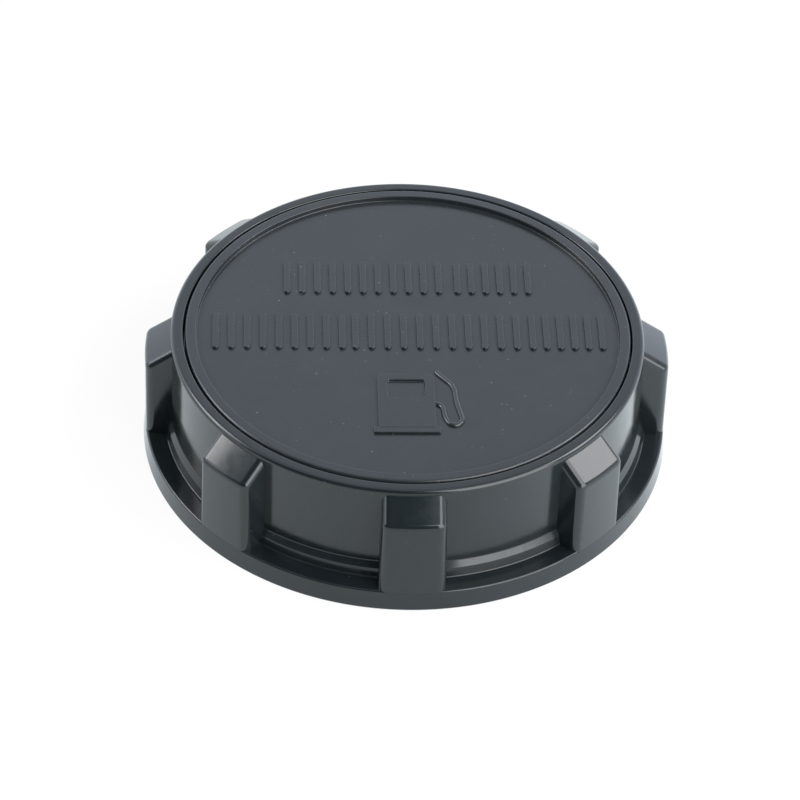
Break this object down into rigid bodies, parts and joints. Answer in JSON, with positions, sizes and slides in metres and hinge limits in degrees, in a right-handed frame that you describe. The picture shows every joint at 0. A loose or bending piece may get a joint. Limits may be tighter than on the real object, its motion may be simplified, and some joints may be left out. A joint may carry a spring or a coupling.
{
  "type": "fuel filler cap",
  "caption": "Round screw-on fuel filler cap with a lugged grip shell, recessed round cover, ratcheting threaded closure and vent valves.",
  "frame": {"origin": "middle of the skirt's base, on the plane that the cap stands on", "axes": "+Z along the cap's axis, from the open mouth to the flat top; one lug points along -Y"},
  "size_m": [0.101, 0.101, 0.025],
  "materials": {
    "shell_plastic": "black injection-moulded plastic, satin gloss",
    "cover_plastic": "black injection-moulded plastic, slightly duller",
    "closure_plastic": "black injection-moulded plastic, as moulded",
    "ratchet_plastic": "natural acetal, as moulded",
    "valve_plastic": "natural nylon, as moulded",
    "seal_rubber": "black nitrile rubber",
    "filter_foam": "open-cell foam",
    "spring_steel": "stainless spring wire"
  },
  "bodies": {
    "grip": {"grip_shell": "shell_plastic", "top_cover": "cover_plastic"},
    "closure": {"closure_cup": "closure_plastic", "neck_gasket": "seal_rubber", "ratchet_ring": "ratchet_plastic", "vent_filter": "filter_foam", "valve_seat": "valve_plastic", "seat_seal_ring": "seal_rubber", "splash_baffle": "valve_plastic", "relief_spring": "spring_steel"},
    "relief_valve": {"relief_plunger": "valve_plastic", "relief_seal": "seal_rubber", "vacuum_spring": "spring_steel"},
    "vacuum_valve": {"vacuum_valve": "valve_plastic", "vacuum_retainer": "ratchet_plastic"}
  },
  "joints": [
    {"name": "ratchet_turn", "type": "hinge", "parent": "grip", "child": "closure", "pos_m": [0, 0, 0.0138], "axis": [0, 0, 1], "continuous": true},
    {"name": "relief_lift", "type": "slide", "parent": "closure", "child": "relief_valve", "axis": [0, 0, 1], "range_m": [0, 0.0012], "stiffness_N_per_m": 400, "springref_m": -0.003, "deforming": ["relief_spring"]},
    {"name": "vacuum_drop", "type": "slide", "parent": "relief_valve", "child": "vacuum_valve", "axis": [0, 0, -1], "range_m": [0, 0.001], "stiffness_N_per_m": 60, "springref_m": -0.0015, "deforming": ["vacuum_spring"]}
  ]
}
